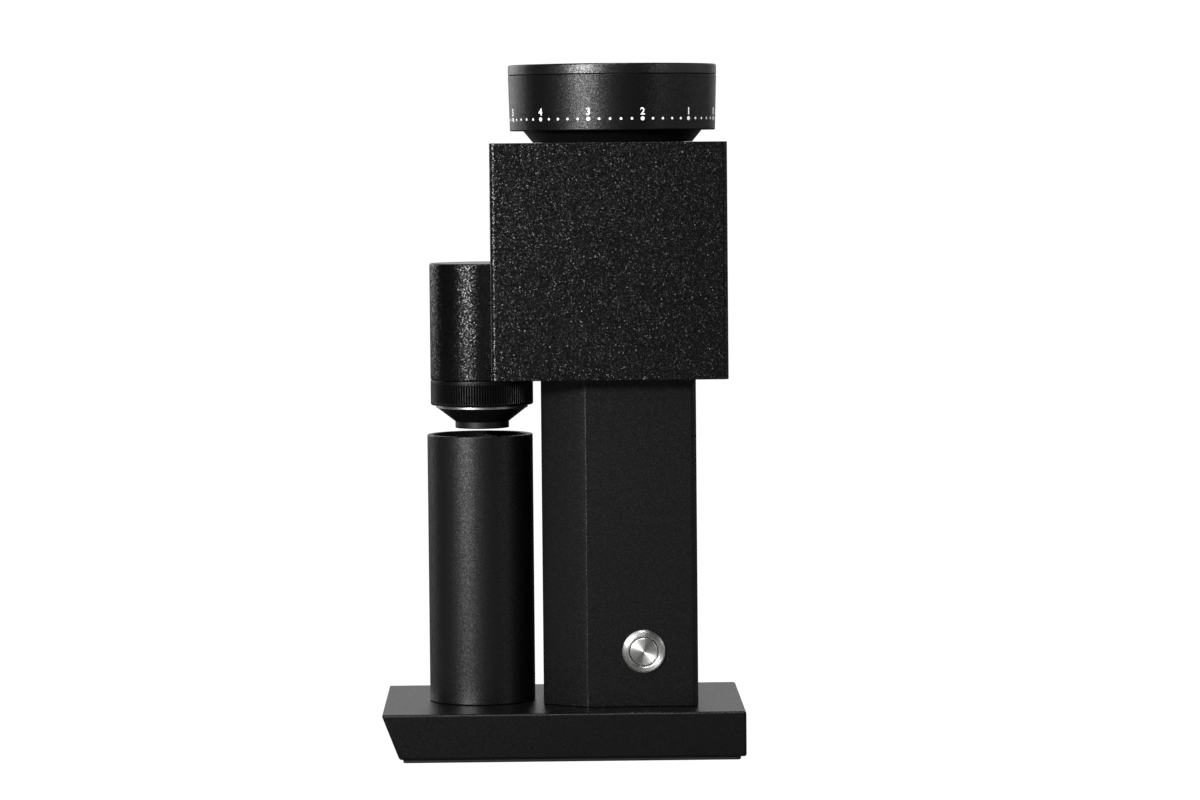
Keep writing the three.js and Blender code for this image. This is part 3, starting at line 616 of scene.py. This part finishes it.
def make_scale():
    """Twelve numbers and sixty dots round the dial's skirt."""
    mesh = bmesh.new()
    step = 360 / NUMBERS
    for number in range(NUMBERS):
        angle = NEAR_ANGLE - (number - NEAR_NUMBER) * step
        print_number(mesh, angle, number)
        print_dot(mesh, angle, BIG_DOT)
        for k in range(1, DOTS_PER_NUMBER):
            print_dot(mesh, angle - k * step / DOTS_PER_NUMBER, SMALL_DOT)
    bmesh.ops.remove_doubles(mesh, verts=mesh.verts[:], dist=1e-6)
    # The numbers and dots carry the print's painted glow.
    piece("dial_scale", mesh, GLOWING_PRINT, "dial")


def make_hopper():
    levels = steps("hopper_funnel", GRIND)
    throat_end, throat, _ = levels[0]
    rim, bowl, lip = levels[-1]
    wall = lip - bowl
    bowl_foot = next(z for z, low, _ in levels if z > throat_end and low < throat + 0.1)
    bowl_edge = levels[-2][0]
    outline = [(throat, throat_end, 0.4), (throat + wall, throat_end, 0.4),
               (throat + wall, bowl_foot - wall, 2), (lip, bowl_edge - wall, 1.5), (lip, rim, 0.4),
               (bowl, rim, 0.4), (bowl, bowl_edge, 4), (throat, bowl_foot, 4)]
    piece("hopper", turned(outline, GRIND), FUNNEL_FINISH, "dial", "hopper_funnel")


# ---- outlet tube, ring and funnel ----
PORT_LOW, PORT_HIGH, PORT_HALF = 220.1, 241.9, 12.4  # the opening in the tube's back that the grounds come by


def make_tube():
    """The tube, with a spigot at its foot for the ring, and the cap let into its top."""
    levels = steps("chute_housing", CHUTE)
    bottom, _, spigot = levels[0]
    shoulder, radius = lowest_wide("chute_housing", CHUTE, spigot + 1)
    cap_low, cap_high = span("chute_cap")
    top, ledge, cap_radius, bore = cap_high.z, cap_low.z + 4.3, radius - 1.6, radius - 3
    seat, throat = cap_radius + 0.2, spigot - 2.6
    outline = [(throat, bottom, 0.3), (spigot, bottom, 0.3), (spigot, shoulder), (radius, shoulder, 0.6),
               (radius, top, 0.9), (seat, top, 0.3), (seat, ledge), (bore, ledge), (bore, shoulder + 4),
               (throat, shoulder)]
    port = block(Vector((CHUTE.x + 5, -PORT_HALF, PORT_LOW)), Vector((CHUTE.x + 30, PORT_HALF, PORT_HIGH)))
    piece("outlet_tube", cut(turned(outline, CHUTE), port), TUBE_FINISH, "frame", "chute_housing")
    cap = turned([(0, cap_low.z), (bore - 0.3, cap_low.z, 0.3), (bore - 0.3, ledge + 0.1),
                  (cap_radius, ledge + 0.1), (cap_radius, top, 0.3), (0, top)], CHUTE)
    piece("outlet_cap", cap, TUBE_FINISH, "frame", "chute_cap")


KNURLS = 120
KNURL_DEPTH = 0.8


def knurled_circle(radius, height, depth):
    """A circle with V grooves between flat-topped ridges."""
    profile = (0.0, 0.0, 0.5, 1.0, 0.5, 0.0)
    count = KNURLS * len(profile)
    points = []
    for i in range(count):
        angle = 2 * math.pi * i / count
        reach = radius - depth * profile[i % len(profile)]
        points.append((CHUTE.x + reach * math.cos(angle), CHUTE.y + reach * math.sin(angle), height))
    return points


def make_ring():
    low, high = span("knurled_ring")
    levels = steps("knurled_ring", CHUTE)
    radius, lip_bore, bore = (high.x - low.x) / 2, levels[0][1], levels[-1][1]
    plain_band, run_out, edge, lip = 1.9, 0.35, 1.0, 1.3
    outer = filleted([(lip_bore, low.z), (radius, low.z, edge), (radius, low.z + 5)], closed=False)
    rows = [knurled_circle(r, z, 0) for r, z in outer[:-1]]
    knurl_low, knurl_high = low.z + edge + 0.1, high.z - plain_band
    rows += [knurled_circle(radius, knurl_low, 0), knurled_circle(radius, knurl_low + run_out, KNURL_DEPTH),
             knurled_circle(radius, knurl_high - run_out, KNURL_DEPTH), knurled_circle(radius, knurl_high, 0)]
    top = filleted([(radius, high.z - 1), (radius, high.z, 0.3), (bore, high.z, 0.3), (bore, low.z + lip),
                    (lip_bore, low.z + lip)], closed=False)
    rows += [knurled_circle(r, z, 0) for r, z in top]
    piece("grip_ring", skinned(rows, closed=True), RING_FINISH, "outlet_ring", "knurled_ring")


def make_funnel():
    levels = steps("outlet_funnel", CHUTE)
    bottom, bore, spout = levels[0]
    cone_low = max(z for z, _, reach in levels if reach < spout + 0.1)
    cone_high, flange = lowest_wide("outlet_funnel", CHUTE, spout + 5)
    lip, rim = lowest_wide("outlet_funnel", CHUTE, flange + 0.5)
    top, inner, _ = levels[-1]
    outline = [(bore, bottom, 0.4), (spout, bottom, 0.5), (spout, cone_low, 0.3), (flange - 0.5, cone_high),
               (flange - 0.5, lip), (rim, lip), (rim, top), (inner, top), (inner, cone_high + 0.4),
               (bore, cone_low + 0.3)]
    piece("outlet_spout", turned(outline, CHUTE), NECK_FINISH, "outlet", "outlet_funnel")
    edge_top, edge_bore, edge_radius = span("knurled_ring")[0].z - 0.1, flange - 0.45, flange + 0.05
    edge = [(edge_bore, cone_high), (edge_radius, cone_high, 0.15), (edge_radius, edge_top, 0.3),
            (edge_bore, edge_top)]
    piece("outlet_bright_edge", turned(edge, CHUTE), POLISHED, "outlet")


# ---- cup ----
def make_cup():
    levels = steps("cup", CUP)
    low, high = span("cup")
    radius = (high.x - low.x) / 2
    wall = 2.7
    floor = next(z for z, inner, _ in levels if z > low.z + 1)
    outline = [(0, low.z), (radius, low.z, 0.6), (radius, high.z, 0.5), (radius - wall, high.z, 0.5),
               (radius - wall, floor, 2.5), (0, floor)]
    piece("dosing_cup", turned(outline, CUP, 256), CUP_FINISH, "cup", "cup")


# ---- button ----
def make_button():
    """A domed bezel with a well that the cap slides in. Heights are out from the column's side."""
    face = span("column_shell")[0].y
    centre = Vector((BUTTON.x, face, BUTTON.z))
    low, high = span("button_body")
    bezel, front, back = (high.x - low.x) / 2, face - low.y, high.y - face
    well, well_floor, barrel, seat = 7.6, -12, 9.3, 0.25
    inner_rim, outer_rim = 8.5, 10.2
    body = [(0, well_floor), (well, well_floor), (well, front - 0.8, 0.15), (well + 0.5, front - 0.1, 0.25),
            (inner_rim, front, 0.2), (outer_rim, front - 0.25, 0.35), (bezel, front - 1.1, 0.35),
            (bezel, seat, 0.1), (barrel, seat), (barrel, -back), (0, -back)]
    bezel_mesh = facing_minus_y(turned(body, UPRIGHT, 128), centre)
    piece("button_bezel", bezel_mesh, SPUN_STEEL, "frame", "button_body")
    cap_low, cap_high = span("button_cap")
    cap, cap_front, cap_back = (cap_high.x - cap_low.x) / 2, face - cap_low.y, cap_high.y - face
    top = [(0, -cap_back), (cap, -cap_back), (cap, cap_front - 0.3, 0.2), (cap - 0.45, cap_front, 0.15),
           (0, cap_front)]
    face_mesh = facing_minus_y(turned(top, UPRIGHT, 128), centre)
    piece("button_face", face_mesh, SPUN_STEEL, "button", "button_cap")


# ---- mains inlet ----
INLET_FLANGE = 1.3  # thickness
SOCKET_HALF_WIDTH, SOCKET_HALF_HEIGHT, SOCKET_DEPTH, SOCKET_BEVEL = 12.2, 8.2, 16, 4.5
SHELL_HALF_WIDTH, SHELL_INSET = 13.6, 1.2
SCREW_SIDE, SCREW_HOLE, SCREW_HEAD = 20, 1.8, 3.2  # distance from the middle, then radii
BLADES = ((-7, -1.5), (0, 2), (7, -1.5))  # across and up from the middle
BLADE_HALF_WIDTH, BLADE_HALF_HEIGHT = 1, 2.7


def inlet_socket(back, centre_z):
    """The shape of the plug's socket, with its two upper corners bevelled."""
    low_z, high_z = centre_z - SOCKET_HALF_HEIGHT, centre_z + SOCKET_HALF_HEIGHT
    socket = block(Vector((back - SOCKET_DEPTH, -SOCKET_HALF_WIDTH, low_z)),
                   Vector((back + 1, SOCKET_HALF_WIDTH, high_z)))
    upper = [edge for edge in socket.edges if abs(edge.verts[0].co.x - edge.verts[1].co.x) > 5 * MM
             and edge.verts[0].co.z > high_z * MM - 1e-4]
    bmesh.ops.bevel(socket, geom=upper, offset=SOCKET_BEVEL * MM, segments=1, profile=0.5, affect="EDGES")
    return socket


def inlet_screw_hole(back, side, centre_z):
    """A countersunk hole through the flange."""
    hole = turned([(0, -6), (SCREW_HOLE, -6), (SCREW_HOLE, 0.1), (SCREW_HEAD, 1.5), (0, 1.5)], UPRIGHT, 32)
    turn = Matrix.Translation(Vector((back - INLET_FLANGE, side, centre_z)) * MM)
    bmesh.ops.transform(hole, matrix=turn @ Matrix.Rotation(math.pi / 2, 4, "Y"), verts=hole.verts)
    return hole


def make_inlet():
    low, high = span("mains_inlet")
    back, centre_z = high.x, middle("mains_inlet").z
    flange = block(Vector((back - INLET_FLANGE, low.y, low.z)), high, edge=0.25)
    socket = inlet_socket(back, centre_z)
    holes = [inlet_screw_hole(back, side, centre_z) for side in (-SCREW_SIDE, SCREW_SIDE)]
    shell = block(Vector((low.x, -SHELL_HALF_WIDTH, low.z + SHELL_INSET)),
                  Vector((back - 0.8, SHELL_HALF_WIDTH, high.z - SHELL_INSET)))
    piece("inlet_shell", cut(shell, socket.copy()), PLASTIC, "frame")
    piece("inlet_flange", cut(flange, socket, *holes), PLASTIC, "frame", "mains_inlet")
    for k, (y, lift) in enumerate(BLADES):
        z = centre_z + lift
        blade = block(Vector((back - 16.5, y - BLADE_HALF_WIDTH, z - BLADE_HALF_HEIGHT)),
                      Vector((back - 3, y + BLADE_HALF_WIDTH, z + BLADE_HALF_HEIGHT)), edge=0.4)
        piece(f"inlet_blade_{k + 1}", blade, POLISHED, "frame")


# ---- stage, light and camera ----
KEY, BUTTON_LIGHT, FILL, OVERHEAD = 46, 8, 1.8, 16  # watts
AMBIENT, BACK_WALL, LEFT_WALL, SIDE_WALL = 0.003, 0.64, 2.1, 0.5  # the room's light
WHITE = 1.05  # the floor and room as seen
FLOOR_RADIUS = 40  # metres
AIM = Vector((0, 0, 0.18))  # metres: the lights point here, at the middle of the object
CAMERA_PLACE = Vector((-12.87, -2238.9, 314.2))
CAMERA_YAW, CAMERA_PITCH, CAMERA_ROLL = 0.86, -3.40, -0.53  # degrees
LENS = 129.0


def make_camera():
    yaw, pitch, roll = (math.radians(a) for a in (CAMERA_YAW, CAMERA_PITCH, CAMERA_ROLL))
    forward = Vector((math.sin(yaw) * math.cos(pitch), math.cos(yaw) * math.cos(pitch), math.sin(pitch)))
    level = Vector((math.cos(yaw), -math.sin(yaw), 0))
    upright = level.cross(forward)
    right = level * math.cos(roll) + upright * math.sin(roll)
    up = upright * math.cos(roll) - level * math.sin(roll)
    data = bpy.data.cameras.new("camera")
    data.lens = LENS
    data.sensor_width = 36
    data.clip_end = 100
    camera = bpy.data.objects.new("camera", data)
    turn = Matrix((right, up, -forward)).transposed().to_4x4()
    camera.matrix_world = Matrix.Translation(CAMERA_PLACE * MM) @ turn
    bpy.context.scene.collection.objects.link(camera)
    bpy.context.scene.camera = camera


def seen_or_cast(nodes, links, seen, cast, output):
    """What the camera sees of a stage surface, and what the object is lit by."""
    path = add(nodes, "LightPath")
    mix = add(nodes, "MixShader")
    links.new(path.outputs["Is Camera Ray"], mix.inputs["Fac"])
    links.new(cast, mix.inputs[1])
    links.new(seen, mix.inputs[2])
    links.new(mix.outputs["Shader"], output.inputs["Surface"])


def make_floor():
    """A pale floor, as bright as the room behind it."""
    mesh = bmesh.new()
    bmesh.ops.create_circle(mesh, cap_ends=True, segments=96, radius=FLOOR_RADIUS)
    data = bpy.data.meshes.new("floor")
    mesh.to_mesh(data)
    mesh.free()
    floor = bpy.data.objects.new("floor", data)
    bpy.context.scene.collection.objects.link(floor)
    paper = bpy.data.materials.new("pale_paper")
    paper.use_nodes = True
    nodes, links = paper.node_tree.nodes, paper.node_tree.links
    nodes.clear()
    seen = add(nodes, "Emission", Color=(1, 1, 1, 1), Strength=WHITE)
    cast = add(nodes, "BsdfDiffuse", Color=(0.2, 0.2, 0.2, 1))
    output = add(nodes, "OutputMaterial")
    seen_or_cast(nodes, links, seen.outputs["Emission"], cast.outputs["BSDF"], output)
    data.materials.append(paper)


def lobe(nodes, links, direction, azimuth, edge, full, strength):
    """Light from round an azimuth, from its edge to its full strength, both in degrees away from it."""
    turn = math.radians(azimuth)
    towards = vector_math(nodes, links, "DOT_PRODUCT", direction, (math.sin(turn), -math.cos(turn), 0))
    return spread(nodes, links, towards, math.cos(math.radians(edge)), math.cos(math.radians(full)), 0,
                  strength)


def make_world():
    """A pale room, white to look at. As the camera sees it, it lights the object from a wall behind, a narrow
    bright one behind and to the left, and a dimmer one to the right."""
    world = bpy.data.worlds.new("room")
    bpy.context.scene.world = world
    world.use_nodes = True
    nodes, links = world.node_tree.nodes, world.node_tree.links
    nodes.clear()
    direction = add(nodes, "TexCoord").outputs["Generated"]
    walls = [lobe(nodes, links, direction, -170, 53, 46, BACK_WALL),
             lobe(nodes, links, direction, -138, 26, 16, LEFT_WALL),
             lobe(nodes, links, direction, 92, 50, 25, SIDE_WALL)]
    brightest = walls[0]
    for wall in walls[1:]:
        pair = add(nodes, "Math", operation="MAXIMUM")
        links.new(brightest, pair.inputs[0])
        links.new(wall, pair.inputs[1])
        brightest = pair.outputs["Value"]
    strength = add(nodes, "Math", operation="ADD")
    strength.inputs[1].default_value = AMBIENT
    links.new(brightest, strength.inputs[0])
    cast = add(nodes, "Background", Color=(1, 1, 1, 1))
    links.new(strength.outputs["Value"], cast.inputs["Strength"])
    seen = add(nodes, "Background", Color=(1, 1, 1, 1), Strength=WHITE)
    output = add(nodes, "OutputWorld")
    seen_or_cast(nodes, links, seen.outputs["Background"], cast.outputs["Background"], output)


def softbox(name, azimuth, elevation, distance, width, height, power):
    """An area light aimed at the object. Azimuth 0 is at -Y, and positive is towards +X. Distance, width and
    height are in metres."""
    data = bpy.data.lights.new(name, "AREA")
    data.shape = "RECTANGLE"
    data.size, data.size_y = width, height
    data.energy = power
    light = bpy.data.objects.new(name, data)
    turn, rise = math.radians(azimuth), math.radians(elevation)
    away = Vector((math.sin(turn) * math.cos(rise), -math.cos(turn) * math.cos(rise), math.sin(rise)))
    light.location = AIM + away * distance
    light.rotation_euler = away.to_track_quat("Z", "Y").to_euler()
    bpy.context.scene.collection.objects.link(light)


def light_scene():
    softbox("key", -32.5, 13, 2.4, 0.75, 0.3, KEY)
    softbox("near_key", -22, 27, 2.4, 0.2, 0.2, BUTTON_LIGHT)
    softbox("fill", 52, 13, 2.4, 0.6, 0.3, FILL)
    softbox("overhead", -8, 58, 2.2, 0.8, 0.8, OVERHEAD)
    bpy.context.scene.view_settings.view_transform = "Standard"


make_camera()
finish_nodes()
make_base()
make_mat()
make_column()
make_head()
make_neck()
make_dial()
make_lid()
make_scale()
make_hopper()
make_tube()
make_ring()
make_funnel()
make_cup()
make_button()
make_inlet()
make_floor()
make_world()
light_scene()
